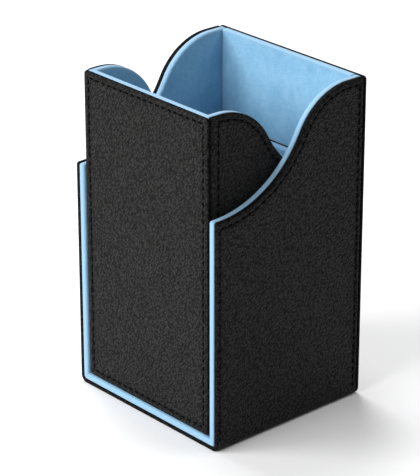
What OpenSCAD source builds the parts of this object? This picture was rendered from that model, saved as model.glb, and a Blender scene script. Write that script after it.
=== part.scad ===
// Card box with a sliding drawer, built the way a rigid box is made:
// greyboard panels, a leatherette cover outside and a turned-over microfibre lining inside.
// Millimetres. X runs to the right, Y to the back, Z up. The origin is under the middle of the box.

/* [Shell] */
// Width over the covers
shell_w = 88; // [84:0.5:100]
// Depth over the back cover and the lined front edges
shell_d = 81; // [76:0.5:100]
// Height of the back wall
back_h = 143.5; // [136:0.5:160]
// Height of the side walls at the open front
side_h = 101.5; // [92:0.5:112]
// Radius of the two long lower edges
corner_r = 3; // [2.2:0.1:3.6]
// Distance that the covers stay behind the lined front edges
cover_set_back = 0.2; // [0.1:0.1:1.2]

/* [Shell side curve] */
// Level stretch of the side rim behind the front edge
side_flat = 2; // [1:0.5:5]
// Depth over which the side rim climbs to the height of the back
side_run = 69.3; // [62:0.1:71]
// Radius of the hollow lower half of the side rim
side_hollow_r = 49; // [42:0.5:52]

/* [Layers] */
// Leatherette round the shell's sides and floor, turned in and sewn at its edges
cover_t = 2; // [1.4:0.1:2.4]
// Leatherette on the shell's back, with its soft backing
back_cover_t = 1.3; // [1:0.1:1.8]
// Greyboard of the shell
board_t = 2.2; // [2:0.1:3]
// Microfibre lining
lining_t = 0.8; // [0.5:0.1:1.0]
// Leatherette round the drawer's sides and floor
drawer_cover_t = 1.3; // [1:0.1:1.6]
// Leatherette on the drawer's front and back
drawer_panel_t = 1; // [0.8:0.1:1.6]
// Greyboard of the drawer
drawer_board_t = 2.2; // [2:0.1:3]
// Open line between the sewn side cover and the panel at its end
seam_gap = 0.5; // [0.2:0.1:1]

/* [Drawer] */
// Free space on each side of the drawer
side_play = 0.9; // [0.3:0.05:1.2]
// Free space under the drawer
floor_play = 0.4; // [0.2:0.05:0.8]
// Free space behind the drawer when it is home
rear_play = 0.4; // [0.3:0.05:1]
// Distance from the shell's front edges back to the drawer front
front_recess = 0.4; // [0.3:0.1:2]
// Height of the low rear wall, measured from the drawer's underside
drawer_low_h = 97.1; // [92:0.1:104]
// Level stretch of the drawer's side rim behind its front panel
drawer_flat = 7; // [5:0.5:10]
// Depth over which the drawer's side rim falls to the rear wall
drawer_run = 68; // [60:0.5:68]
// Radius of the hollow lower half of the drawer's side rim
drawer_hollow_r = 48.6; // [42:0.1:50]
// Radius of the corners of the front panel and of the drawer's lower edges
drawer_corner_r = 1.8; // [1.7:0.1:2.4]

/* [Magnets] */
// Diameter of the hidden catch magnets and of their keepers
magnet_d = 10; // [6:0.5:14]
// Thickness of a magnet or keeper
magnet_t = 1.5; // [1:0.1:1.8]
// Free space round a magnet in its pocket
magnet_play = 0.05; // [0.02:0.01:0.15]
// Distance between the two magnets
magnet_pitch = 44; // [30:1:52]
// Height of the magnets above the table
magnet_h = 58; // [30:1:80]

/* [Hidden] */
$fn = 96;

black = "#2b2a2a";
blue = "#8fc1e0";
grey = "#9a938a";
steel = "#c4c6c8";

// how far a cutting shape runs past what it cuts
over = 1;

// shell planes
front_y = -shell_d / 2;
back_y = shell_d / 2;
half_w = shell_w / 2;
core_t = board_t + lining_t;
wall_t = cover_t + core_t;
cover_front_y = front_y + cover_set_back;
back_core_y = back_y - back_cover_t;
bay_half_w = half_w - wall_t;
bay_back_y = back_core_y - core_t;

// drawer planes
drawer_core_t = drawer_board_t + lining_t;
drawer_wall_t = drawer_cover_t + drawer_core_t;
drawer_half_w = bay_half_w - side_play;
drawer_front_y = front_y + front_recess;
drawer_back_y = bay_back_y - rear_play;
drawer_z = wall_t + floor_play;
drawer_core_front_y = drawer_front_y + drawer_panel_t;
drawer_core_back_y = drawer_back_y - drawer_panel_t;
drawer_low_z = drawer_z + drawer_low_h;

// extrusions of a flat outline along X, Y or Z between two planes
module along_x(x0, x1) {
    translate([x0, 0, 0]) rotate([90, 0, 90]) linear_extrude(x1 - x0) children();
}
module along_y(y0, y1) {
    translate([0, y1, 0]) rotate([90, 0, 0]) linear_extrude(y1 - y0) children();
}

module rect(x0, y0, x1, y1) {
    translate([x0, y0]) square([x1 - x0, y1 - y0]);
}

// Side view of a wall whose rim climbs in an S from low to high: a hollow arc, then a crown arc,
// tangent to each other and to the level stretches at both ends. inset moves the rim in, and
// edge moves the upright at the low end in.
module s_wall(y0, y1, base, low, high, flat, run, hollow_r, inset = 0, edge = 0) {
    rise = high - low;
    both_r = (run * run + rise * rise) / (2 * rise);
    crown_r = both_r - hollow_r;
    hollow_y = y0 + flat;
    crown_y = hollow_y + run;
    hollow_z = low + hollow_r;
    // direction from the hollow's centre to the point where the arcs meet
    turn = [run / both_r, (rise - both_r) / both_r];
    meet_y = hollow_y + (hollow_r + inset) * turn[0];
    meet_z = hollow_z + (hollow_r + inset) * turn[1];
    difference() {
        rect(y0 + edge, base, y1, high - inset);
        rect(y0 - over, low - inset, hollow_y, high + over);
        // the three cuts overlap a little, so that nothing thin is left where they meet
        intersection() {
            translate([hollow_y, hollow_z]) circle(hollow_r + inset);
            rect(hollow_y - over, low - inset - over, meet_y, high + over);
        }
        difference() {
            rect(meet_y - over, meet_z, crown_y, high + over);
            translate([crown_y, high - crown_r]) circle(crown_r - inset);
        }
    }
}

// the shell's side wall, seen from the side
module shell_side(inset = 0, edge = 0, y1 = back_core_y, base = 0) {
    s_wall(front_y, y1, base, side_h, back_h, side_flat, side_run, side_hollow_r, inset, edge);
}

// the drawer's side wall falls towards the back, so it is the same curve mirrored
module drawer_side(inset = 0, y0 = drawer_core_front_y, y1 = drawer_core_back_y, base = drawer_z) {
    level = drawer_back_y - drawer_front_y - drawer_flat - drawer_run;
    difference() {
        translate([drawer_front_y + drawer_back_y, 0]) mirror([1, 0])
            s_wall(drawer_front_y, drawer_back_y, base, drawer_low_z, back_h,
                   level, drawer_run, drawer_hollow_r, inset);
        rect(drawer_front_y - over, base - over, y0, back_h + over);
        rect(y1, base - over, drawer_back_y + over, back_h + over);
    }
}

// front view of a box body: upright sides and two rounded lower corners
module body_front(half, z0, z1, r) {
    rect(-half, z0 + r, half, z1);
    rect(-half + r, z0, half - r, z0 + r);
    for (s = [-1, 1]) translate([s * (half - r), z0 + r]) circle(r);
}

// front view of a U-shaped layer, t thick, inside a box body of that half width and corner
module u_front(half, z0, z1, r, t) {
    difference() {
        body_front(half, z0, z1, r);
        body_front(half - t, z0 + t, z1 + over, r - t);
    }
}

// front view of the U between a cover and the space inside, which holds the board and the lining
module core_front(half, z0, z1, r, t) {
    difference() {
        body_front(half, z0, z1, r);
        rect(-half + t, z0 + t, half - t, z1 + over);
    }
}

// front view of the skin of lining on the inside of that U, between depths t0 and t1
module skin_front(half, z0, z1, t0, t1) {
    difference() {
        rect(-half + t0, z0 + t0, half - t0, z1);
        rect(-half + t1, z0 + t1, half - t1, z1 + over);
    }
}

// the parts of that U on either side of its mitred lower corners
module right_of_mitre(half, z0, z1) {
    polygon([[half + over, z0 - over], [half + over, z1 + over],
             [half / 2, z1 + over], [half / 2, z0 + half / 2]]);
}
module below_mitre(half, z0) {
    polygon([[-half - over, z0 - over], [half + over, z0 - over], [half / 2, z0 + half / 2],
             [-half / 2, z0 + half / 2]]);
}

module magnet_places(y) {
    for (s = [-1, 1])
        translate([s * magnet_pitch / 2, y, magnet_h]) rotate([90, 0, 0]) children();
}

// ---------------------------------------------------------------- shell

shell_core_half = half_w - cover_t;
shell_core_r = corner_r - cover_t;

// left side, floor and right side in one piece of leatherette
module shell_wrap() {
    color(black) intersection() {
        along_y(cover_front_y, back_core_y - seam_gap) u_front(half_w, 0, back_h, corner_r, cover_t);
        along_x(-half_w, half_w) shell_side();
    }
}

module shell_back_cover() {
    color(black) along_y(back_core_y, back_y) body_front(half_w, 0, back_h, corner_r);
}

// cuts a front view down to the shell's right side panel
module shell_right_part(inset, edge) {
    intersection() {
        along_y(front_y, back_core_y) intersection() {
            children();
            right_of_mitre(shell_core_half, cover_t, back_h);
        }
        along_x(0, shell_core_half) shell_side(inset, edge);
    }
}

module shell_right_board() {
    color(grey) shell_right_part(lining_t, lining_t)
        core_front(shell_core_half, cover_t, back_h, shell_core_r, board_t);
}
module shell_left_board() {
    mirror([1, 0, 0]) shell_right_board();
}

// the lining covers the inside and is turned over the rim and the front edge of the board
module shell_right_lining() {
    color(blue) {
        shell_right_part(0, 0) skin_front(shell_core_half, cover_t, back_h, board_t, core_t);
        intersection() {
            shell_right_part(0, 0) core_front(shell_core_half, cover_t, back_h, shell_core_r, core_t);
            along_x(0, shell_core_half) difference() {
                shell_side();
                shell_side(lining_t, lining_t, y1 = back_y, base = -over);
            }
        }
    }
}
module shell_left_lining() {
    mirror([1, 0, 0]) shell_right_lining();
}

module shell_floor_core(edge, t) {
    along_y(front_y + edge, back_core_y) intersection() {
        core_front(shell_core_half, cover_t, back_h, shell_core_r, t);
        below_mitre(shell_core_half, cover_t);
    }
}
module shell_floor_board() {
    color(grey) shell_floor_core(lining_t, board_t);
}
module shell_floor_lining() {
    color(blue) difference() {
        shell_floor_core(0, core_t);
        shell_floor_core(lining_t, board_t);
    }
}

module shell_back_board() {
    color(grey) difference() {
        along_y(back_core_y - board_t, back_core_y)
            rect(-bay_half_w, wall_t, bay_half_w, back_h - lining_t);
        magnet_places(back_core_y + over)
            cylinder(d = magnet_d + 2 * magnet_play, h = magnet_t + over);
    }
}
module shell_back_lining() {
    color(blue) difference() {
        along_y(bay_back_y, back_core_y) rect(-bay_half_w, wall_t, bay_half_w, back_h);
        along_y(back_core_y - board_t, back_core_y + over)
            rect(-bay_half_w - over, wall_t - over, bay_half_w + over, back_h - lining_t);
    }
}

module shell_magnets() {
    color(steel) magnet_places(back_core_y) cylinder(d = magnet_d, h = magnet_t);
}

// ---------------------------------------------------------------- drawer

drawer_core_half = drawer_half_w - drawer_cover_t;
drawer_core_z = drawer_z + drawer_cover_t;
drawer_core_r = drawer_corner_r - drawer_cover_t;
drawer_inner_half = drawer_half_w - drawer_wall_t;
drawer_floor_z = drawer_z + drawer_wall_t;

// front panel of leatherette, with all four corners rounded
module drawer_front_cover() {
    color(black) along_y(drawer_front_y, drawer_core_front_y) {
        body_front(drawer_half_w, drawer_z, back_h - drawer_corner_r, drawer_corner_r);
        translate([0, back_h + drawer_z]) mirror([0, 1])
            body_front(drawer_half_w, drawer_z, drawer_z + 2 * drawer_corner_r, drawer_corner_r);
    }
}

module drawer_back_cover() {
    color(black) along_y(drawer_core_back_y, drawer_back_y)
        body_front(drawer_half_w, drawer_z, drawer_low_z, drawer_corner_r);
}

// left side, floor and right side in one piece, with an open line at each end
module drawer_wrap() {
    color(black) intersection() {
        along_y(drawer_core_front_y + seam_gap, drawer_core_back_y - seam_gap)
            u_front(drawer_half_w, drawer_z, back_h, drawer_corner_r, drawer_cover_t);
        along_x(-drawer_half_w, drawer_half_w) drawer_side();
    }
}

// cuts a front view down to the drawer's right side panel
module drawer_right_part(inset = 0) {
    intersection() {
        along_y(drawer_core_front_y, drawer_core_back_y) intersection() {
            children();
            right_of_mitre(drawer_core_half, drawer_core_z, back_h);
        }
        along_x(0, drawer_core_half) drawer_side(inset);
    }
}

module drawer_right_board() {
    color(grey) drawer_right_part(lining_t)
        core_front(drawer_core_half, drawer_core_z, back_h, drawer_core_r, drawer_board_t);
}
module drawer_left_board() {
    mirror([1, 0, 0]) drawer_right_board();
}

module drawer_right_lining() {
    color(blue) {
        drawer_right_part()
            skin_front(drawer_core_half, drawer_core_z, back_h, drawer_board_t, drawer_core_t);
        along_x(drawer_inner_half, drawer_core_half) difference() {
            drawer_side();
            drawer_side(lining_t, drawer_front_y, drawer_back_y, drawer_z - over);
        }
    }
}
module drawer_left_lining() {
    mirror([1, 0, 0]) drawer_right_lining();
}

module drawer_floor_core(t) {
    along_y(drawer_core_front_y, drawer_core_back_y) intersection() {
        core_front(drawer_core_half, drawer_core_z, back_h, drawer_core_r, t);
        below_mitre(drawer_core_half, drawer_core_z);
    }
}
module drawer_floor_board() {
    color(grey) drawer_floor_core(drawer_board_t);
}
module drawer_floor_lining() {
    color(blue) difference() {
        drawer_floor_core(drawer_core_t);
        drawer_floor_core(drawer_board_t);
    }
}

// an end wall of the drawer: its board from y0 to y1, its lining turned over the top from y0 to y2
module end_board(y0, y1, top) {
    along_y(min(y0, y1), max(y0, y1))
        rect(-drawer_inner_half, drawer_floor_z, drawer_inner_half, top - lining_t);
}
module end_lining(y0, y1, y2, top) {
    difference() {
        along_y(min(y0, y2), max(y0, y2)) rect(-drawer_inner_half, drawer_floor_z, drawer_inner_half, top);
        along_y(min(y0, y1), max(y0, y1))
            rect(-drawer_inner_half - over, drawer_floor_z - over,
                 drawer_inner_half + over, top - lining_t);
    }
}

module drawer_front_board() {
    color(grey) end_board(drawer_core_front_y, drawer_core_front_y + drawer_board_t, back_h);
}
module drawer_front_lining() {
    color(blue) end_lining(drawer_core_front_y, drawer_core_front_y + drawer_board_t,
                           drawer_core_front_y + drawer_core_t, back_h);
}
module drawer_back_board() {
    color(grey) difference() {
        end_board(drawer_core_back_y, drawer_core_back_y - drawer_board_t, drawer_low_z);
        magnet_places(drawer_core_back_y + over)
            cylinder(d = magnet_d + 2 * magnet_play, h = magnet_t + over);
    }
}
module drawer_back_lining() {
    color(blue) end_lining(drawer_core_back_y, drawer_core_back_y - drawer_board_t,
                           drawer_core_back_y - drawer_core_t, drawer_low_z);
}
module drawer_keepers() {
    color(steel) magnet_places(drawer_core_back_y) cylinder(d = magnet_d, h = magnet_t);
}

shell_wrap();
shell_back_cover();
shell_left_board();
shell_right_board();
shell_back_board();
shell_floor_board();
shell_left_lining();
shell_right_lining();
shell_back_lining();
shell_floor_lining();
shell_magnets();
drawer_front_cover();
drawer_wrap();
drawer_back_cover();
drawer_front_board();
drawer_left_board();
drawer_right_board();
drawer_back_board();
drawer_floor_board();
drawer_front_lining();
drawer_left_lining();
drawer_right_lining();
drawer_back_lining();
drawer_floor_lining();
drawer_keepers();
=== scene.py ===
from math import ceil, cos, pi, radians, sin

import bmesh
import bpy
import numpy as np
from mathutils import Matrix, Vector


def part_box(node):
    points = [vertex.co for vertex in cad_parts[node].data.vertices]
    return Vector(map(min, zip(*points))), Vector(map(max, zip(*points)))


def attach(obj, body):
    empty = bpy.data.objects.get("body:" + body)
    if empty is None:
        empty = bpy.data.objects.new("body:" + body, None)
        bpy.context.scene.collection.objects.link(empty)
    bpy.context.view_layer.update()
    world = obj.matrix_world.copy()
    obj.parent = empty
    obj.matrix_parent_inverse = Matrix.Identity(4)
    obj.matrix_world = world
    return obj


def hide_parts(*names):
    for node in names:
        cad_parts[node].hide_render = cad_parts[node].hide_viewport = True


# Leatherette card box with a sliding drawer. Built in millimetres, stored in metres.

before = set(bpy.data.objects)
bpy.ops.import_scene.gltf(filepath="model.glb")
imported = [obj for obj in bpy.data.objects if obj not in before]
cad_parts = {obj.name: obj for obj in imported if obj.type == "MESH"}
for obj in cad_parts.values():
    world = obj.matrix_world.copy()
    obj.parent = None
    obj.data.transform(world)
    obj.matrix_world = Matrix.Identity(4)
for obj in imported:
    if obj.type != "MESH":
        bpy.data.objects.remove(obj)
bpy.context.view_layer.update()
mm = 0.001


# camera

view = {
    "place": (0.6906, -0.6166, 0.4745),
    "right": (0.6631, 0.7485, 0.0),
    "up": (-0.2993, 0.2652, 0.9166),
    "lens": 122.07,  # mm, on a sensor 24 mm high
    "shift": (-0.0017, -0.0046),
}


def addCamera(view):
    data = bpy.data.cameras.new("camera")
    data.sensor_fit = "VERTICAL"
    data.sensor_height = 24
    data.lens = view["lens"]
    data.shift_x, data.shift_y = view["shift"]
    data.clip_start = 0.05
    camera = bpy.data.objects.new("camera", data)
    bpy.context.scene.collection.objects.link(camera)
    right, up = Vector(view["right"]).normalized(), Vector(view["up"]).normalized()
    back = right.cross(up).normalized()
    turn = Matrix((right, up, back)).transposed()
    camera.matrix_world = Matrix.Translation(view["place"]) @ turn.to_4x4()
    bpy.context.scene.camera = camera


addCamera(view)
print("camera set")


# materials

def toLinear(hexColour):
    parts = [int(hexColour[k:k + 2], 16) / 255 for k in (1, 3, 5)]
    return tuple(p / 12.92 if p <= 0.04045 else ((p + 0.055) / 1.055) ** 2.4 for p in parts) + (1,)


# a node with its settings, the stops of a colour ramp among them, and its links
def addNode(tree, kind, settings=(), links=()):
    node = tree.nodes.new(kind)
    for name, value in dict(settings).items():
        if name == "stops":
            ramp = node.color_ramp.elements
            while len(ramp) < len(value):
                ramp.new(0.5)
            for element, (place, colour) in zip(ramp, value):
                element.position, element.color = place, toLinear(colour)
        elif isinstance(name, str) and hasattr(node, name):
            setattr(node, name, value)
        else:
            node.inputs[name].default_value = value
    for name, socket in dict(links).items():
        tree.links.new(socket, node.inputs[name])
    return node


def newMaterial(name):
    material = bpy.data.materials.new(name)
    material.use_nodes = True
    tree = material.node_tree
    tree.nodes.clear()
    return material, tree


def leatherette():
    # PU leatherette: a heated roller presses wavy pebbles into soft black film. The pebble tone ramp is partly the
    # grain's own tone and partly painted shade: the creases are painted dark and their shine dimmed as if in shade,
    # while the tops are paler with more shine.
    # A pebble is about 1.6 mm long and 0.7 to 1 mm wide, as in the photograph, and its
    # long way leans up to the right on the front and on the side alike.
    spec = {"pebble": 0.75, "lean": (0.29, -0.74, 0.21), "stretch": (2.1, 1.35, 0.95), "swerve": 1.8,
            "swerveSize": 3.5, "fine": 0.5, "top": "#252322", "valleyToneAndShade": "#0a0909", "depth": 1.0, "edgeShade": 0.55}
    material, tree = newMaterial("black PU leatherette, pebbled")
    where = addNode(tree, "ShaderNodeTexCoord").outputs["Object"]
    wander = addNode(tree, "ShaderNodeTexNoise", {"Scale": 1 / (spec["swerveSize"] * mm), "Detail": 1.0},
                     {"Vector": where}).outputs["Color"]
    shifted = addNode(tree, "ShaderNodeVectorMath", {"operation": "MULTIPLY_ADD", 1: (spec["swerve"] * mm,) * 3},
                      {0: wander, 2: where}).outputs[0]
    leaning = addNode(tree, "ShaderNodeMapping", {"vector_type": "TEXTURE", "Rotation": spec["lean"],
                                                  "Scale": spec["stretch"]}, {"Vector": shifted}).outputs[0]
    cells = addNode(tree, "ShaderNodeTexVoronoi", {"feature": "SMOOTH_F1", "Scale": 1 / (spec["pebble"] * mm),
                                                   "Smoothness": 0.3}, {"Vector": leaning}).outputs["Distance"]
    fine = addNode(tree, "ShaderNodeTexNoise", {"Scale": 1 / (spec["fine"] * mm), "Detail": 2.0}, {"Vector": where})
    pebble = addNode(tree, "ShaderNodeMapRange", {1: 0.0, 2: 0.75, 3: 1.0, 4: 0.0}, {0: cells}).outputs[0]
    height = addNode(tree, "ShaderNodeMath", {"operation": "MULTIPLY_ADD", 1: 0.2},
                     {0: fine.outputs["Fac"], 2: pebble}).outputs[0]
    # painted shade in the creases on top of the grain's own tone: the valley colour darkens the creases and the top
    # colour lightens the pebble tops
    colour = addNode(tree, "ShaderNodeValToRGB", {"stops": [(0.1, spec["valleyToneAndShade"]), (0.8, spec["top"])]},
                     {"Fac": pebble}).outputs["Color"]
    # painted shade: the leather is darkened towards its cut and turned edges, where it meets the cloth and the groove
    # between them lies in shade
    edge = addNode(tree, "ShaderNodeAttribute", {"attribute_name": "border"}).outputs["Fac"]
    left = addNode(tree, "ShaderNodeMath", {"operation": "MULTIPLY_ADD", 1: -spec["edgeShade"], 2: 1.0},
                   {0: edge}).outputs[0]
    colour = addNode(tree, "ShaderNodeVectorMath", {"operation": "SCALE"}, {0: colour, "Scale": left}).outputs[0]
    rough = addNode(tree, "ShaderNodeMapRange", {1: 0.0, 2: 1.0, 3: 0.7, 4: 0.5}, {0: pebble}).outputs[0]
    # painted shade on the reflection: the shine is lowered in the creases, and on the next line towards the leather's
    # edges
    shadedShine = addNode(tree, "ShaderNodeMapRange", {1: 0.2, 2: 0.9, 3: 0.15, 4: 0.34}, {0: pebble}).outputs[0]
    shadedShine = addNode(tree, "ShaderNodeMath", {"operation": "MULTIPLY"}, {0: shadedShine, 1: left}).outputs[0]
    bump = addNode(tree, "ShaderNodeBump", {"Strength": 1.0, "Distance": spec["depth"] * mm}, {"Height": height})
    shader = addNode(tree, "ShaderNodeBsdfPrincipled", {"IOR": 1.47},
                     {"Base Color": colour, "Roughness": rough, "Specular IOR Level": shadedShine,
                      "Normal": bump.outputs["Normal"]})
    addNode(tree, "ShaderNodeOutputMaterial", links={"Surface": shader.outputs[0]})
    return material


def microfibre():
    # brushed polyester microfibre: a dense dull nap about 0.3 mm deep; its rolled edges are painted in a paler
    # colour, a painted sheen for the light its tips scatter there, and strokes in the nap leave broad soft clouds and
    # small darker flecks
    spec = {"nap": "#78abcb", "brushed": "#8cbbd7", "folded": "#89b0cd", "depth": 0.3, "fibre": 0.5, "cloud": 9.0,
            "fleck": 1.6}
    material, tree = newMaterial("light blue brushed microfibre")
    where = addNode(tree, "ShaderNodeTexCoord").outputs["Object"]
    cloud = addNode(tree, "ShaderNodeTexNoise", {"Scale": 1 / (spec["cloud"] * mm), "Detail": 3.0, "Roughness": 0.6,
                                                 "Distortion": 0.6}, {"Vector": where}).outputs["Fac"]
    fleck = addNode(tree, "ShaderNodeTexNoise", {"Scale": 1 / (spec["fleck"] * mm), "Detail": 2.0},
                    {"Vector": where}).outputs["Fac"]
    fibre = addNode(tree, "ShaderNodeTexNoise", {"Scale": 1 / (spec["fibre"] * mm), "Detail": 2.0},
                    {"Vector": where}).outputs["Fac"]
    tone = addNode(tree, "ShaderNodeMath", {"operation": "MULTIPLY_ADD", 1: 0.5}, {0: fleck, 2: cloud}).outputs[0]
    colour = addNode(tree, "ShaderNodeValToRGB", {"stops": [(0.55, spec["nap"]), (0.95, spec["brushed"])]},
                     {"Fac": tone}).outputs["Color"]
    # painted sheen: near its edges the cloth is mixed towards the paler "folded" colour
    edge = addNode(tree, "ShaderNodeAttribute", {"attribute_name": "border"}).outputs["Fac"]
    colour = addNode(tree, "ShaderNodeMix", {"data_type": "RGBA", 7: toLinear(spec["folded"])},
                     {0: edge, 6: colour}).outputs[2]
    bump = addNode(tree, "ShaderNodeBump", {"Strength": 1.0, "Distance": spec["depth"] * mm}, {"Height": fibre})
    shader = addNode(tree, "ShaderNodeBsdfPrincipled",
                     {"Roughness": 0.95, "IOR": 1.35, "Specular IOR Level": 0.2, "Sheen Weight": 0.35,
                      "Sheen Roughness": 0.5, "Sheen Tint": toLinear("#e6f0fb")},
                     {"Base Color": colour, "Normal": bump.outputs["Normal"]})
    addNode(tree, "ShaderNodeOutputMaterial", links={"Surface": shader.outputs[0]})
    return material


def thread():
    # bonded polyester sewing thread: black, waxed and dull, with a fine twist
    material, tree = newMaterial("black bonded polyester thread")
    where = addNode(tree, "ShaderNodeTexCoord").outputs["Object"]
    twist = addNode(tree, "ShaderNodeTexNoise", {"Scale": 1 / (0.3 * mm), "Detail": 1.0}, {"Vector": where})
    colour = addNode(tree, "ShaderNodeValToRGB", {"stops": [(0.3, "#020202"), (0.7, "#070707")]},
                     {"Fac": twist.outputs["Fac"]}).outputs["Color"]
    bump = addNode(tree, "ShaderNodeBump", {"Strength": 0.6, "Distance": 0.08 * mm}, {"Height": twist.outputs["Fac"]})
    shader = addNode(tree, "ShaderNodeBsdfPrincipled", {"Roughness": 0.8, "IOR": 1.5, "Specular IOR Level": 0.05},
                     {"Base Color": colour, "Normal": bump.outputs["Normal"]})
    addNode(tree, "ShaderNodeOutputMaterial", links={"Surface": shader.outputs[0]})
    return material


def greyboard():
    # recycled greyboard: brown-grey pulp with darker and lighter flecks about 1 mm long
    material, tree = newMaterial("recycled greyboard")
    where = addNode(tree, "ShaderNodeTexCoord").outputs["Object"]
    fleck = addNode(tree, "ShaderNodeTexNoise", {"Scale": 1 / (1.0 * mm), "Detail": 4.0, "Roughness": 0.7},
                    {"Vector": where})
    colour = addNode(tree, "ShaderNodeValToRGB", {"stops": [(0.3, "#7d766c"), (0.5, "#978f84"), (0.72, "#b3aca0")]},
                     {"Fac": fleck.outputs["Fac"]}).outputs["Color"]
    bump = addNode(tree, "ShaderNodeBump", {"Strength": 0.4, "Distance": 0.05 * mm}, {"Height": fleck.outputs["Fac"]})
    shader = addNode(tree, "ShaderNodeBsdfPrincipled", {"Roughness": 0.9, "IOR": 1.45},
                     {"Base Color": colour, "Normal": bump.outputs["Normal"]})
    addNode(tree, "ShaderNodeOutputMaterial", links={"Surface": shader.outputs[0]})
    return material


def nickelSteel():
    # nickel-plated magnet steel, barrel-plated, so it is bright with a fine dull haze
    material, tree = newMaterial("nickel-plated steel")
    where = addNode(tree, "ShaderNodeTexCoord").outputs["Object"]
    haze = addNode(tree, "ShaderNodeTexNoise", {"Scale": 1 / (0.8 * mm), "Detail": 3.0}, {"Vector": where})
    rough = addNode(tree, "ShaderNodeMapRange", {1: 0.3, 2: 0.7, 3: 0.24, 4: 0.38},
                    {0: haze.outputs["Fac"]}).outputs[0]
    shader = addNode(tree, "ShaderNodeBsdfPrincipled", {"Metallic": 1.0, "Base Color": toLinear("#c9c6bd")},
                     {"Roughness": rough})
    addNode(tree, "ShaderNodeOutputMaterial", links={"Surface": shader.outputs[0]})
    return material


leatherMaterial = leatherette()
clothMaterial = microfibre()
threadMaterial = thread()
boardMaterial = greyboard()
steelMaterial = nickelSteel()
print("materials made")


# sizes taken from the frame, in mm

def nodeBox(node):
    low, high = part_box(node)
    return [v / mm for v in low], [v / mm for v in high]


shellLow, shellHigh = nodeBox("shell_wrap")
shellBackLow, shellBackHigh = nodeBox("shell_back_cover")
shellSideLow, shellSideHigh = nodeBox("shell_right_lining")
shellFloorLow, shellFloorHigh = nodeBox("shell_floor_lining")
shellRearLow, shellRearHigh = nodeBox("shell_back_lining")
drawerLow, drawerHigh = nodeBox("drawer_wrap")
drawerSideLow, drawerSideHigh = nodeBox("drawer_right_lining")
drawerFrontLow, drawerFrontHigh = nodeBox("drawer_front_cover")
drawerBackLow, drawerBackHigh = nodeBox("drawer_back_cover")

# The S of each side rim runs from its low end, past a flat, to its high end: towards the back for dir 1, towards
# the front for dir -1. Its hollow arc and its crown arc meet in a tangent.
shellCurve = {"dir": 1, "flat": 2, "run": 69.3, "low": 101.5, "high": shellHigh[2], "hollow": 49.0}
shellCurve["start"] = shellSideLow[1] + shellCurve["flat"]
drawerCurve = {"dir": -1, "flat": 7, "run": 68.0, "low": drawerBackHigh[2], "high": drawerHigh[2], "hollow": 48.6}
drawerCurve["start"] = drawerFrontLow[1] + drawerCurve["flat"] + drawerCurve["run"]


# height of the rim at y, and the cosine of its slope there
def rimHeight(curve, y):
    rise = curve["high"] - curve["low"]
    bothR = (curve["run"] ** 2 + rise ** 2) / (2 * rise)
    crown = bothR - curve["hollow"]
    along = np.clip((y - curve["start"]) * curve["dir"], 0, curve["run"])
    meet = curve["hollow"] * curve["run"] / bothR
    hollowZ = curve["low"] + curve["hollow"] - np.sqrt(curve["hollow"] ** 2 - np.minimum(along, meet) ** 2)
    left = curve["run"] - np.maximum(along, meet)
    crownZ = curve["high"] - crown + np.sqrt(crown ** 2 - left ** 2)
    sine = np.where(along < meet, along / curve["hollow"], left / crown)
    return np.where(along < meet, hollowZ, crownZ), np.sqrt(1 - sine ** 2)


# sheets with rolled edges
# A sheet is a grid over one panel. Distances u and v run in from its borders, and depth runs down from
# its outer face. Rings carry the border round the edge to a second grid on the inside.

far = 1e6


def rollSteps(r, count=5):
    return [r * (1 - np.cos(a)) for a in np.linspace(0, pi / 2, count + 1)]


def rollDepth(edge, r):
    return r - np.sqrt(np.maximum(r * r - np.maximum(r - edge, 0) ** 2, 0))


# the grids' steps in mm: on both sides of a line of sewing, past a rolled edge, and past all that is fine
fineSteps = (-0.5, -0.3, -0.15, 0, 0.15, 0.3, 0.5)
pastRoll, pastAll = 0.25, 0.8
# points down a wall, round its bend, and from there to the floor's middle
wallRows = {"fall": 14, "turn": 11, "floor": 12}


# steps in from a border, fine over its rolled edge and over lines of sewing or padding at those distances
def nearEdge(roll, *lines):
    steps = rollSteps(roll) + [roll + pastRoll]
    for line in lines:
        steps += [line + k for k in fineSteps if line + k > roll]
    return sorted({round(step, 2) for step in steps + [max(steps) + pastAll]})


def stations(total, low, high, step):
    count = max(1, ceil((total - low[-1] - high[-1]) / step))
    middle = np.linspace(low[-1], total - high[-1], count + 1)[1:-1]
    return np.concatenate([low, middle, [total - h for h in reversed(high)]])


# bends a square corner of the grid round to radius r, and gives each point's distance to the border
def roundCorner(u, v, r):
    a, b = np.clip(1 - u / r, 0, 1), np.clip(1 - v / r, 0, 1)
    a2, b2 = a * np.sqrt(1 - b * b / 2), b * np.sqrt(1 - a * a / 2)
    inside = (a > 0) & (b > 0)
    edge = np.where(inside, r * (1 - np.hypot(a2, b2)), np.minimum(u, v))
    return np.where(inside, r * (1 - a2), u), np.where(inside, r * (1 - b2), v), edge


# a rectangle with its two sides along axes 0 and 1, and its inside along axis 2
def flatShape(panel):
    width, height = panel["size"]
    u0 = stations(width, panel["near"], panel["near"], panel["step"])
    v0 = stations(height, panel["near"], panel["near"], panel["step"])
    axes = [np.array(a, float) for a in panel["axes"]]

    def shape(inset):
        u, v = np.meshgrid(np.clip(u0, inset, width - inset), np.clip(v0, inset, height - inset), indexing="ij")
        right, top = u > width / 2, v > height / 2
        radius = np.where(top, panel["topCorner"], panel["lowCorner"])
        du, dv, edge = roundCorner(np.where(right, width - u, u), np.where(top, height - v, v), radius)
        u, v = np.where(right, width - du, du), np.where(top, height - dv, dv)
        points = np.array(panel["corner"], float) + u[..., None] * axes[0] + v[..., None] * axes[1]
        return points, np.broadcast_to(axes[2], points.shape), edge, np.stack([u, v], -1)

    return shape


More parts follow.
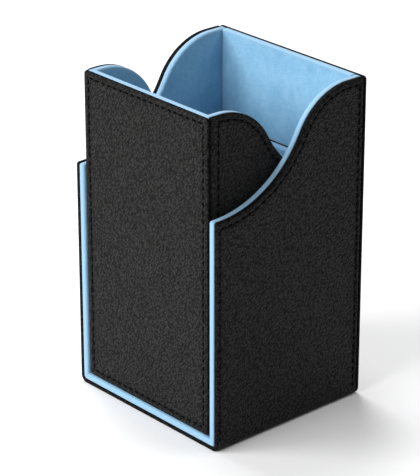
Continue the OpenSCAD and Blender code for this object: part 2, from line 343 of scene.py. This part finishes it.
# the right side wall with its S rim: rows run down to the lower border, or with bend round to the floor's middle
def wallShape(wall):
    front, rear, low, bend = wall["front"], wall["rear"], wall["low"], wall.get("bend", 0)
    u0 = stations(rear - front, wall["nearFront"], wall["nearRear"], wall["step"])
    rimRows = np.array(wall["nearRim"])
    fall = np.linspace(0, 1, wallRows["fall"])[1:-1]
    lowRows = np.array([] if bend else list(reversed(wall["nearLow"])))
    turns = np.linspace(0, pi / 2, wallRows["turn"]) if bend else np.array([])
    across = np.linspace(wall["x"] - bend, 0, wallRows["floor"])[1:] if bend else np.array([])
    a = len(rimRows)
    b = a + len(fall)
    c = b + len(lowRows)
    t = c + len(turns)
    rest = t + len(across) - c
    v0 = np.concatenate([rimRows, np.full(len(fall), far), lowRows, np.full(rest, far)])
    lowZ = low + (bend if bend else lowRows[0])

    def shape(inset):
        total = rear - front
        u, v = np.meshgrid(np.clip(u0, inset, total - inset), np.maximum(v0, inset), indexing="ij")
        behind = u > total / 2
        du, dv, edge = roundCorner(np.where(behind, total - u, u), v, wall["corner"])
        y = np.where(behind, rear - du, front + du)
        rim, cosine = rimHeight(wall["curve"], y)
        z = rim - dv / cosine
        top = (rim - rimRows[-1] / cosine)[:, a:b]
        z[:, a:b] = top + (lowZ - top) * fall
        z[:, b:c] = low + dv[:, b:c]
        x = np.full_like(y, wall["x"])
        inward = np.zeros(y.shape + (3,))
        inward[..., 0] = wall["side"]
        if bend:
            x[:, c:t] = wall["x"] - bend + bend * np.cos(turns)
            z[:, c:t] = low + bend - bend * np.sin(turns)
            inward[:, c:t, 0] = -np.cos(turns)
            inward[:, c:t, 2] = np.sin(turns)
            x[:, t:] = across
            z[:, t:] = low
            inward[:, t:] = (0, 0, 1)
        return np.stack([x, y, z], -1), inward, edge, np.stack([y, z], -1)

    return shape


# a right side wall, the floor and the left side wall in one sheet
def troughShape(wall):
    half = wallShape(wall)

    def shape(inset):
        points, inward, edge, flat = half(inset)
        whole = [np.concatenate([g, (g * (-1, 1, 1))[:, -2::-1]], 1) for g in (points, inward)]
        return whole + [np.concatenate([g, g[:, -2::-1]], 1) for g in (edge, flat)]

    return shape


def distanceTo(flat, path):
    path = np.array(path, float)
    best = np.full(flat.shape[:2], far)
    for p, q in zip(path[:-1], path[1:]):
        d = q - p
        t = np.clip(((flat - p) @ d) / (d @ d), 0, 1)
        best = np.minimum(best, np.linalg.norm(flat - p - t[..., None] * d, axis=-1))
    return best


def borderLoop(n, m):
    return ([(0, j) for j in range(m)] + [(i, m - 1) for i in range(1, n)]
            + [(n - 1, j) for j in range(m - 2, -1, -1)] + [(i, 0) for i in range(n - 2, 0, -1)])


sharpAngle = 0.9  # radians between faces past which an edge is shaded sharp
welded = 0.002 * mm  # points nearer than this are one


def finishMesh(name, bm, material, body, slot, nodes):
    bmesh.ops.recalc_face_normals(bm, faces=bm.faces[:])
    mesh = bpy.data.meshes.new(name)
    bm.to_mesh(mesh)
    bm.free()
    mesh.shade_smooth()
    mesh.set_sharp_from_angle(angle=sharpAngle)
    mesh.materials.append(material)
    piece = bpy.data.objects.new(name, mesh)
    bpy.context.scene.collection.objects.link(piece)
    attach(piece, body)
    if nodes:
        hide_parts(*nodes)
    return piece


# The closed mesh of one sheet: outer grid, rings round its edge, inner grid. The attribute "border" is 1 at the
# sheet's edge and falls to 0 at its margin; the materials paint shade on the leather's edges and a pale sheen on the
# cloth's edges with it.
def buildSheet(name, shape, sheet, lines=(), cuts=(), mirrored=False, **rest):
    points, inward, edge, flat = shape(0)
    depth = rollDepth(edge, sheet["roll"])
    for path, (deep, width) in lines:
        depth = depth + deep * np.exp(-(distanceTo(flat, path) / width) ** 2)
    n, m = edge.shape
    around = borderLoop(n, m)
    verts = [(points + inward * depth[..., None]).reshape(-1, 3)]
    loops = [[i * m + j for i, j in around]]
    total = n * m
    for inset, down in sheet["rings"]:
        p, w = shape(inset)[:2]
        ring = p + w * down
        verts.append(np.array([ring[i, j] for i, j in around]))
        loops.append(list(range(total, total + len(around))))
        total += len(around)
    inset, down = sheet["inner"]
    p, w = shape(inset)[:2]
    verts.append((p + w * down).reshape(-1, 3))
    loops.append([total + i * m + j for i, j in around])
    faces = []
    for start in (0, total):
        for i in range(n - 1):
            for j in range(m - 1):
                k = start + i * m + j
                faces.append((k, k + m, k + m + 1, k + 1))
    for a, b in zip(loops[:-1], loops[1:]):
        for k in range(len(a)):
            faces.append((a[k - 1], a[k], b[k], b[k - 1]))
    mesh = bpy.data.meshes.new("draft")
    mesh.from_pydata((np.concatenate(verts) * mm).tolist(), [], faces)
    closeness = np.ones(len(mesh.vertices))
    closeness[:n * m] = np.clip(1 - edge / sheet["margin"], 0, 1).ravel()
    mesh.attributes.new("border", "FLOAT", "POINT").data.foreach_set("value", closeness)
    bm = bmesh.new()
    bm.from_mesh(mesh)
    bpy.data.meshes.remove(mesh)
    bmesh.ops.remove_doubles(bm, verts=bm.verts[:], dist=welded)
    for place, outward in cuts:
        cut = bmesh.ops.bisect_plane(bm, geom=bm.verts[:] + bm.edges[:] + bm.faces[:], dist=1e-7,
                                     plane_co=Vector(place) * mm, plane_no=Vector(outward).normalized(),
                                     clear_outer=True)
        rim = [e for e in cut["geom_cut"] if isinstance(e, bmesh.types.BMEdge)]
        bmesh.ops.triangle_fill(bm, use_beauty=True, use_dissolve=False, edges=rim)
    if mirrored:
        bmesh.ops.scale(bm, vec=(-1, 1, 1), verts=bm.verts[:])
    return finishMesh(name, bm, **rest)


# mm that the painted edge shade of the leather and the painted pale sheen on the cloth's rolled edges reach in
leatherEdgeShadeWidth, clothEdgeSheenWidth = 1.1, 1.6
leatherBack = 0.3  # radius of the edge on the leather's inner side


def leatherSheet(thick, roll):
    r = leatherBack
    return {"roll": roll, "margin": leatherEdgeShadeWidth, "rings": [(0, thick - r), (0.3 * r, thick - 0.3 * r), (r, thick)],
            "inner": (r, thick)}


# depth and width in mm of what runs along a line: sewing draws the leather in, padding beside it swells out,
# and where the leather is folded in under itself it lies lower
sewn, swelling, folded = (0.36, 0.42), (-0.24, 0.48), (0.3, 0.8)


# cloth turned over the edge of a board: the rings go round the board's edge and back under the cloth
def liningSheet(core, cloth, roll):
    outer = [(cloth * (1 - np.cos(a)), core - cloth + cloth * np.sin(a)) for a in np.linspace(0, pi / 2, 6)]
    return {"roll": roll, "margin": clothEdgeSheenWidth, "rings": outer + [(cloth, cloth)], "inner": (cloth, cloth)}


# shell

boxWise = ((1, 0, 0), (0, 0, 1))
floorWise = ((1, 0, 0), (0, 1, 0))
leatherOf = {"material": leatherMaterial, "slot": "black_leatherette"}
clothOf = {"material": clothMaterial, "slot": "blue_microfibre"}


rimPoints = 90


# a row of sewing up the front of a side wall, along its rim and down its rear, as (y, z)
def rimPath(curve, front, rear, below, low):
    ys = np.linspace(front, rear, rimPoints)
    rim, cosine = rimHeight(curve, ys)
    sine = np.sqrt(1 - cosine ** 2) * curve["dir"]
    inner = [(y, z) for y, z in zip(ys + sine * below, rim - cosine * below) if front <= y <= rear]
    ends = [(front, low), (front, inner[0][1])] if inner[0][0] > front else [(front, low)]
    return ends + inner + ([(rear, inner[-1][1])] if inner[-1][0] < rear else []) + [(rear, low)]


shell = {"half": shellHigh[0], "leather": shellHigh[0] - shellSideHigh[0], "roll": 0.5,
         "back": shellBackHigh[1] - shellBackLow[1], "backRoll": 0.6, "cloth": 0.8, "clothRoll": 1.1, "bend": 3.0,
         "rearRoll": 0.5, "seamFront": 1.4, "seamRim": 2.8, "seamRear": 2.1, "seamBack": 3.3, "seamLow": 4.0,
         "swell": 0.5, "step": 1.4, "panelStep": 6}
shellCore = shellSideHigh[0] - shellSideLow[0]
# the row of sewing, and the swelling between it and the edges
shellSeam, shellSwell = [rimPath(shellCurve, shellLow[1] + k * shell["seamFront"],
                                 shellHigh[1] - k * shell["seamRear"], k * shell["seamRim"], shell["seamLow"])
                         for k in (1, shell["swell"])]


# steps in from a border that has a row of sewing, with the swelling beside it
def nearSeam(roll, seam, swell):
    return nearEdge(roll, swell * seam, seam)


shellTrough = {
    "x": shell["half"], "side": -1, "bend": shell["bend"], "front": shellLow[1], "rear": shellHigh[1], "low": 0,
    "curve": shellCurve, "corner": 1.2, "step": shell["step"],
    "nearFront": nearSeam(shell["roll"], shell["seamFront"], shell["swell"]),
    "nearRear": nearSeam(shell["roll"], shell["seamRear"], shell["swell"]),
    "nearRim": nearSeam(shell["roll"], shell["seamRim"], shell["swell"]),
}
buildSheet("shellLeather", troughShape(shellTrough), leatherSheet(shell["leather"], shell["roll"]),
           lines=[(shellSeam, sewn), (shellSwell, swelling)], body="shell", nodes=["shell_wrap"], **leatherOf)

shellBack = {
    "corner": (-shell["half"], shellBackHigh[1], 0), "size": (2 * shell["half"], shellBackHigh[2]),
    "axes": boxWise + ((0, -1, 0),), "lowCorner": shell["bend"], "topCorner": 1.5, "step": shell["panelStep"],
    "near": nearSeam(shell["backRoll"], shell["seamBack"], shell["swell"]),
}


# a row round a panel, at one distance from its edge
def framePath(panel, seam):
    width, height = panel["size"]
    return [(seam, seam), (width - seam, seam), (width - seam, height - seam), (seam, height - seam), (seam, seam)]


shellBackSeam, shellBackSwell = [framePath(shellBack, k * shell["seamBack"]) for k in (1, shell["swell"])]
buildSheet("shellBackLeather", flatShape(shellBack), leatherSheet(shell["back"], shell["backRoll"]),
           lines=[(shellBackSeam, sewn), (shellBackSwell, swelling)], body="shell",
           nodes=["shell_back_cover"], **leatherOf)

shellWall = {
    "x": shellSideLow[0], "side": 1, "front": shellSideLow[1], "rear": shellSideHigh[1], "low": shellSideLow[2],
    "curve": shellCurve, "corner": 1.2, "step": shell["step"],
    **dict.fromkeys(("nearFront", "nearRear", "nearRim", "nearLow"), nearEdge(shell["clothRoll"])),
}
outerCorner = (shellSideHigh[0], 0, shellSideLow[2])  # where the mitre between side and floor lining starts
for side, mirrored in (("Right", False), ("Left", True)):
    buildSheet("shellLining" + side, wallShape(shellWall), liningSheet(shellCore, shell["cloth"], shell["clothRoll"]),
               cuts=[(outerCorner, (-1, 0, -1))], mirrored=mirrored, body="shell",
               nodes=["shell_" + side.lower() + "_lining"], **clothOf)

shellFloor = {
    "corner": (shellFloorLow[0], shellFloorLow[1], shellFloorHigh[2]),
    "size": (shellFloorHigh[0] - shellFloorLow[0], shellFloorHigh[1] - shellFloorLow[1]),
    "axes": floorWise + ((0, 0, -1),), "lowCorner": 1.2, "topCorner": 1.2, "step": shell["panelStep"],
    "near": nearEdge(shell["clothRoll"]),
}
buildSheet("shellLiningFloor", flatShape(shellFloor), liningSheet(shellCore, shell["cloth"], shell["clothRoll"]),
           cuts=[(outerCorner, (1, 0, 1)), ((-outerCorner[0], 0, outerCorner[2]), (-1, 0, 1))],
           body="shell", nodes=["shell_floor_lining"], **clothOf)

shellRear = {
    "corner": (shellRearLow[0], shellRearLow[1], shellRearLow[2]),
    "size": (shellRearHigh[0] - shellRearLow[0], shellRearHigh[2] - shellRearLow[2]),
    "axes": boxWise + ((0, 1, 0),), "lowCorner": 0.6, "topCorner": 0.6, "step": shell["panelStep"],
    "near": nearEdge(shell["rearRoll"]),
}
buildSheet("shellLiningBack", flatShape(shellRear), liningSheet(shellCore, shell["cloth"], shell["rearRoll"]),
           body="shell", nodes=["shell_back_lining"], **clothOf)
print("shell covered")


# drawer

drawer = {"half": drawerHigh[0], "leather": drawerHigh[0] - drawerSideHigh[0], "roll": 0.5,
          "panel": drawerFrontHigh[1] - drawerFrontLow[1], "panelRoll": 0.65, "cloth": 0.8, "clothRoll": 1.0,
          "bend": 1.8, "seamSide": 4.1, "seamRim": 2.8, "seamPanel": 2.9, "swellPanel": 1.7, "foldSide": 1.0,
          "seamLow": 10.0, "swell": 0.5, "swellSide": 0.65, "step": 1.4, "panelStep": 6}
drawerCore = drawerSideHigh[0] - drawerSideLow[0]
drawerSeam, drawerSwell = [rimPath(drawerCurve, drawerLow[1] + side, drawerHigh[1] - side, rim, drawer["seamLow"])
                           for side, rim in ((drawer["seamSide"], drawer["seamRim"]),
                                             (drawer["swellSide"] * drawer["seamSide"],
                                              drawer["swell"] * drawer["seamRim"]))]
# at both ends, beside the seams with the panels, the leather is folded in and lies lower
drawerFolds = [[(y, drawer["seamLow"]), (y, drawerHigh[2])] for y in (drawerLow[1] + drawer["foldSide"],
                                                                      drawerHigh[1] - drawer["foldSide"])]

drawerEnd = nearEdge(drawer["roll"], drawer["foldSide"], drawer["swellSide"] * drawer["seamSide"], drawer["seamSide"])
drawerTrough = {
    "x": drawer["half"], "side": -1, "bend": drawer["bend"], "front": drawerLow[1], "rear": drawerHigh[1],
    "low": drawerLow[2], "curve": drawerCurve, "corner": 0.9, "step": drawer["step"],
    "nearFront": drawerEnd, "nearRear": drawerEnd,
    "nearRim": nearSeam(drawer["roll"], drawer["seamRim"], drawer["swell"]),
}
buildSheet("drawerLeather", troughShape(drawerTrough), leatherSheet(drawer["leather"], drawer["roll"]),
           lines=[(drawerSeam, sewn), (drawerSwell, swelling)] + [(fold, folded) for fold in drawerFolds],
           body="drawer", nodes=["drawer_wrap"], **leatherOf)

drawerFront = {
    "corner": (-drawer["half"], drawerFrontLow[1], drawerFrontLow[2]),
    "size": (2 * drawer["half"], drawerFrontHigh[2] - drawerFrontLow[2]),
    "axes": boxWise + ((0, 1, 0),), "lowCorner": drawer["bend"], "topCorner": drawer["bend"],
    "step": drawer["panelStep"],
    "near": nearEdge(drawer["panelRoll"], drawer["swellPanel"], drawer["seamPanel"]),
}
drawerBack = {
    "corner": (-drawer["half"], drawerBackHigh[1], drawerBackLow[2]),
    "size": (2 * drawer["half"], drawerBackHigh[2] - drawerBackLow[2]),
    "axes": boxWise + ((0, -1, 0),), "lowCorner": drawer["bend"], "topCorner": 1.2,
    "step": drawer["panelStep"],
    "near": nearEdge(drawer["panelRoll"], drawer["swellPanel"], drawer["seamPanel"]),
}
for name, panel, node in (("drawerFrontLeather", drawerFront, "drawer_front_cover"),
                          ("drawerBackLeather", drawerBack, "drawer_back_cover")):
    buildSheet(name, flatShape(panel), leatherSheet(drawer["panel"], drawer["panelRoll"]),
               lines=[(framePath(panel, drawer["seamPanel"]), sewn),
                      (framePath(panel, drawer["swellPanel"]), swelling)],
               body="drawer", nodes=[node], **leatherOf)

drawerWall = {
    "x": drawerSideLow[0], "side": 1, "front": drawerSideLow[1], "rear": drawerSideHigh[1],
    "low": drawerSideLow[2], "curve": drawerCurve, "corner": 1.1, "step": drawer["step"],
    **dict.fromkeys(("nearFront", "nearRear", "nearRim", "nearLow"), nearEdge(drawer["clothRoll"])),
}
inside = drawerSideLow[0]
frontInside, rearInside = drawerSideLow[1] + drawerCore, drawerSideHigh[1] - drawerCore
for side, mirrored in (("Right", False), ("Left", True)):
    buildSheet("drawerLining" + side, wallShape(drawerWall),
               liningSheet(drawerCore, drawer["cloth"], drawer["clothRoll"]),
               cuts=[((inside, frontInside, 0), (-1, -1, 0)), ((inside, rearInside, 0), (-1, 1, 0))],
               mirrored=mirrored, body="drawer", nodes=["drawer_" + side.lower() + "_lining"], **clothOf)

for end, y, turn, high in (("Front", frontInside, -1, drawerFrontHigh[2]),
                           ("Back", rearInside, 1, drawerBackHigh[2])):
    panel = {
        "corner": (-drawerSideHigh[0], y, drawerSideLow[2]), "size": (2 * drawerSideHigh[0], high - drawerSideLow[2]),
        "axes": boxWise + ((0, turn, 0),), "lowCorner": 1.1, "topCorner": 1.1, "step": drawer["panelStep"],
        "near": nearEdge(drawer["clothRoll"]),
    }
    buildSheet("drawerLining" + end, flatShape(panel), liningSheet(drawerCore, drawer["cloth"], drawer["clothRoll"]),
               cuts=[((inside, y, 0), (1, -turn, 0)), ((-inside, y, 0), (-1, -turn, 0))],
               body="drawer", nodes=["drawer_" + end.lower() + "_lining"], **clothOf)
print("drawer covered")


# sewing

# the inputs of the node tree, with a thread thicker than the real 0.5 mm, so that it shows at this size
sewing = {"Pitch": 3.57 * mm, "Stitch Length": 2.4 * mm, "Thread Width": 0.8 * mm, "Length Scatter": 0.1}
sharpTurn = 0.7  # cosine of the turn at which a row is sewn as two seams


def sewingTree():
    tree = bpy.data.node_groups.new("row of stitches", "GeometryNodeTree")
    tree.interface.new_socket("Geometry", in_out="INPUT", socket_type="NodeSocketGeometry")
    sockets = {}
    for name in sewing:
        sockets[name] = tree.interface.new_socket(name, in_out="INPUT", socket_type="NodeSocketFloat").identifier
    sockets["Thread"] = tree.interface.new_socket("Thread", in_out="INPUT",
                                                  socket_type="NodeSocketMaterial").identifier
    tree.interface.new_socket("Geometry", in_out="OUTPUT", socket_type="NodeSocketGeometry")
    given = addNode(tree, "NodeGroupInput").outputs
    places = addNode(tree, "GeometryNodeCurveToPoints", {"mode": "LENGTH"},
                     {"Curve": given["Geometry"], "Length": given["Pitch"]})
    halfLength = addNode(tree, "ShaderNodeMath", {"operation": "MULTIPLY", 1: 0.5}, {0: given["Stitch Length"]})
    halfWidth = addNode(tree, "ShaderNodeMath", {"operation": "MULTIPLY", 1: 0.5}, {0: given["Thread Width"]})
    size = addNode(tree, "ShaderNodeCombineXYZ", links={"X": halfLength.outputs[0], "Y": halfWidth.outputs[0],
                                                        "Z": halfWidth.outputs[0]})
    ball = addNode(tree, "GeometryNodeMeshUVSphere", {"Segments": 10, "Rings": 8, "Radius": 1.0})
    stitch = addNode(tree, "GeometryNodeTransform",
                     links={"Geometry": ball.outputs["Mesh"], "Scale": size.outputs[0]})
    shorter = addNode(tree, "ShaderNodeMath", {"operation": "SUBTRACT", 0: 1.0}, {1: given["Length Scatter"]})
    spread = addNode(tree, "FunctionNodeRandomValue", {"data_type": "FLOAT", "Seed": 7, 3: 1.0},
                     {2: shorter.outputs[0]})
    stretch = addNode(tree, "ShaderNodeCombineXYZ", {"Y": 1.0, "Z": 1.0}, {"X": spread.outputs[1]})
    turn = addNode(tree, "FunctionNodeAlignRotationToVector", {"axis": "X"}, {"Vector": places.outputs["Tangent"]})
    row = addNode(tree, "GeometryNodeInstanceOnPoints", links={
        "Points": places.outputs["Points"], "Instance": stitch.outputs[0], "Rotation": turn.outputs[0],
        "Scale": stretch.outputs[0]})
    real = addNode(tree, "GeometryNodeRealizeInstances", links={"Geometry": row.outputs[0]})
    smooth = addNode(tree, "GeometryNodeSetShadeSmooth", links={0: real.outputs[0]})
    done = addNode(tree, "GeometryNodeSetMaterial",
                   links={"Geometry": smooth.outputs[0], "Material": given["Thread"]})
    addNode(tree, "NodeGroupOutput", links={0: done.outputs[0]})
    return tree, sockets


stitchTree, stitchSockets = sewingTree()


# A row is sewn as one seam from each sharp corner to the next, with a whole number of stitches, so that a stitch
# ends in the corner and none cuts across it. The seams start and end in the middle of a stitch.
def seamsOf(row, pitch):
    row = np.array(row)
    ways = np.diff(row, axis=0)
    ways /= np.linalg.norm(ways, axis=1)[:, None]
    corners = [k + 1 for k, turn in enumerate((ways[1:] * ways[:-1]).sum(axis=1)) if turn < sharpTurn]
    seams = []
    for first, last in zip([0, *corners], [*corners, len(row) - 1]):
        part = row[first:last + 1]
        run = np.append(0, np.cumsum(np.linalg.norm(np.diff(part, axis=0), axis=1)))
        half = run[-1] / int(run[-1] / pitch) / 2
        stops = [half, *[stop for stop in run if half < stop < run[-1] - half], run[-1] - half]
        seams.append([[np.interp(stop, run, part[:, k]) for k in range(3)] for stop in stops])
    return seams


# rows of stitches along 3-D lines, in mm, as one plain mesh
def sew(name, rows, body):
    curve = bpy.data.curves.new(name + "Line", "CURVE")
    curve.dimensions = "3D"
    for row in rows:
        for seam in seamsOf(row, sewing["Pitch"] / mm):
            spline = curve.splines.new("POLY")
            spline.points.add(len(seam) - 1)
            for point, place in zip(spline.points, seam):
                point.co = (*[c * mm for c in place], 1)
    line = bpy.data.objects.new(name + "Line", curve)
    bpy.context.scene.collection.objects.link(line)
    modifier = line.modifiers.new("stitches", "NODES")
    modifier.node_group = stitchTree
    for setting, value in sewing.items():
        modifier[stitchSockets[setting]] = value
    modifier[stitchSockets["Thread"]] = threadMaterial
    graph = bpy.context.evaluated_depsgraph_get()
    mesh = bpy.data.meshes.new_from_object(line.evaluated_get(graph), depsgraph=graph)
    mesh.name = name
    bpy.data.objects.remove(line)
    if not mesh.materials:
        mesh.materials.append(threadMaterial)
    piece = bpy.data.objects.new(name, mesh)
    bpy.context.scene.collection.objects.link(piece)
    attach(piece, body)
    return piece


sunk = 0.12  # mm that a stitch's middle lies under the leather's face


def onPanel(panel, path):
    corner, across, up, inward = np.array((panel["corner"], *panel["axes"]))
    return [tuple(corner + u * across + v * up + sunk * inward) for u, v in path]


def onSide(x, path):
    return [(x, y, z) for y, z in path]


shellSideX, drawerSideX = shell["half"] - sunk, drawer["half"] - sunk
sew("shellStitches", [onSide(shellSideX, shellSeam), onSide(-shellSideX, shellSeam),
                      onPanel(shellBack, shellBackSeam)], "shell")
sew("drawerStitches", [onSide(drawerSideX, drawerSeam), onSide(-drawerSideX, drawerSeam),
                       onPanel(drawerFront, framePath(drawerFront, drawer["seamPanel"])),
                       onPanel(drawerBack, framePath(drawerBack, drawer["seamPanel"]))], "drawer")
print("sewn")


# nodes that stay as they are

for name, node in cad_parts.items():
    if name.endswith("board"):
        material = boardMaterial
    elif name.endswith(("magnets", "keepers")):
        material = steelMaterial
    elif name.endswith("lining"):
        material = clothMaterial
    else:
        material = leatherMaterial
    node.data.materials.clear()
    node.data.materials.append(material)


# studio

studio = {
    "floor": "#f8f8f9", "floorHalf": 0.9, "floorBelow": 0.05 * mm,
    # watts, then degrees from the front towards the box's left, degrees above the table, size and distance in m
    "softboxes": {"front": (30, 0, 25, 1.2, 2.2), "frontLeft": (37, 33, 25, 1.2, 2.2),
                  "leftHigh": (32, 107, 60, 1.2, 2.1), "rearHigh": (9, 222, 52, 1.2, 2.2)},
    "sky": 0.2,
    "aim": (0, 0, 0.06),
}


def addFloor():
    bm = bmesh.new()
    bmesh.ops.create_grid(bm, x_segments=8, y_segments=8, size=studio["floorHalf"])
    bmesh.ops.translate(bm, vec=(0, 0, -studio["floorBelow"]), verts=bm.verts[:])
    mesh = bpy.data.meshes.new("floor")
    bm.to_mesh(mesh)
    bm.free()
    material, tree = newMaterial("white studio paper")
    where = addNode(tree, "ShaderNodeTexCoord").outputs["Object"]
    grain = addNode(tree, "ShaderNodeTexNoise", {"Scale": 1 / (1.5 * mm), "Detail": 1.0}, {"Vector": where})
    bump = addNode(tree, "ShaderNodeBump", {"Strength": 0.05, "Distance": 0.05 * mm},
                   {"Height": grain.outputs["Fac"]})
    shader = addNode(tree, "ShaderNodeBsdfPrincipled",
                     {"Base Color": toLinear(studio["floor"]), "Roughness": 0.8, "Specular IOR Level": 0.2},
                     {"Normal": bump.outputs["Normal"]})
    addNode(tree, "ShaderNodeOutputMaterial", links={"Surface": shader.outputs[0]})
    mesh.materials.append(material)
    floor = bpy.data.objects.new("floor", mesh)
    bpy.context.scene.collection.objects.link(floor)


def addSoftbox(name, power, turn, rise, size, away):
    light = bpy.data.lights.new(name, "AREA")
    light.shape = "DISK"
    light.size = size
    light.energy = power
    softbox = bpy.data.objects.new(name, light)
    a, e = radians(turn), radians(rise)
    towards = Vector((-sin(a) * cos(e), -cos(a) * cos(e), sin(e)))
    softbox.location = Vector(studio["aim"]) + away * towards
    softbox.rotation_euler = towards.to_track_quat("Z", "Y").to_euler()
    bpy.context.scene.collection.objects.link(softbox)


# a pale room, seen as white behind the table and lighting the box only a little
def addSky():
    world = bpy.data.worlds.new("pale room")
    world.use_nodes = True
    world.node_tree.nodes.clear()
    seen = addNode(world.node_tree, "ShaderNodeLightPath").outputs["Is Camera Ray"]
    strength = addNode(world.node_tree, "ShaderNodeMapRange", {3: studio["sky"], 4: 1.0}, {0: seen}).outputs[0]
    light = addNode(world.node_tree, "ShaderNodeBackground", {"Color": (1, 1, 1, 1)}, {"Strength": strength})
    addNode(world.node_tree, "ShaderNodeOutputWorld", links={"Surface": light.outputs[0]})
    bpy.context.scene.world = world


addFloor()
addSky()
for name, light in studio["softboxes"].items():
    addSoftbox(name, *light)
bpy.context.scene.view_settings.view_transform = "Standard"
print("studio lit")
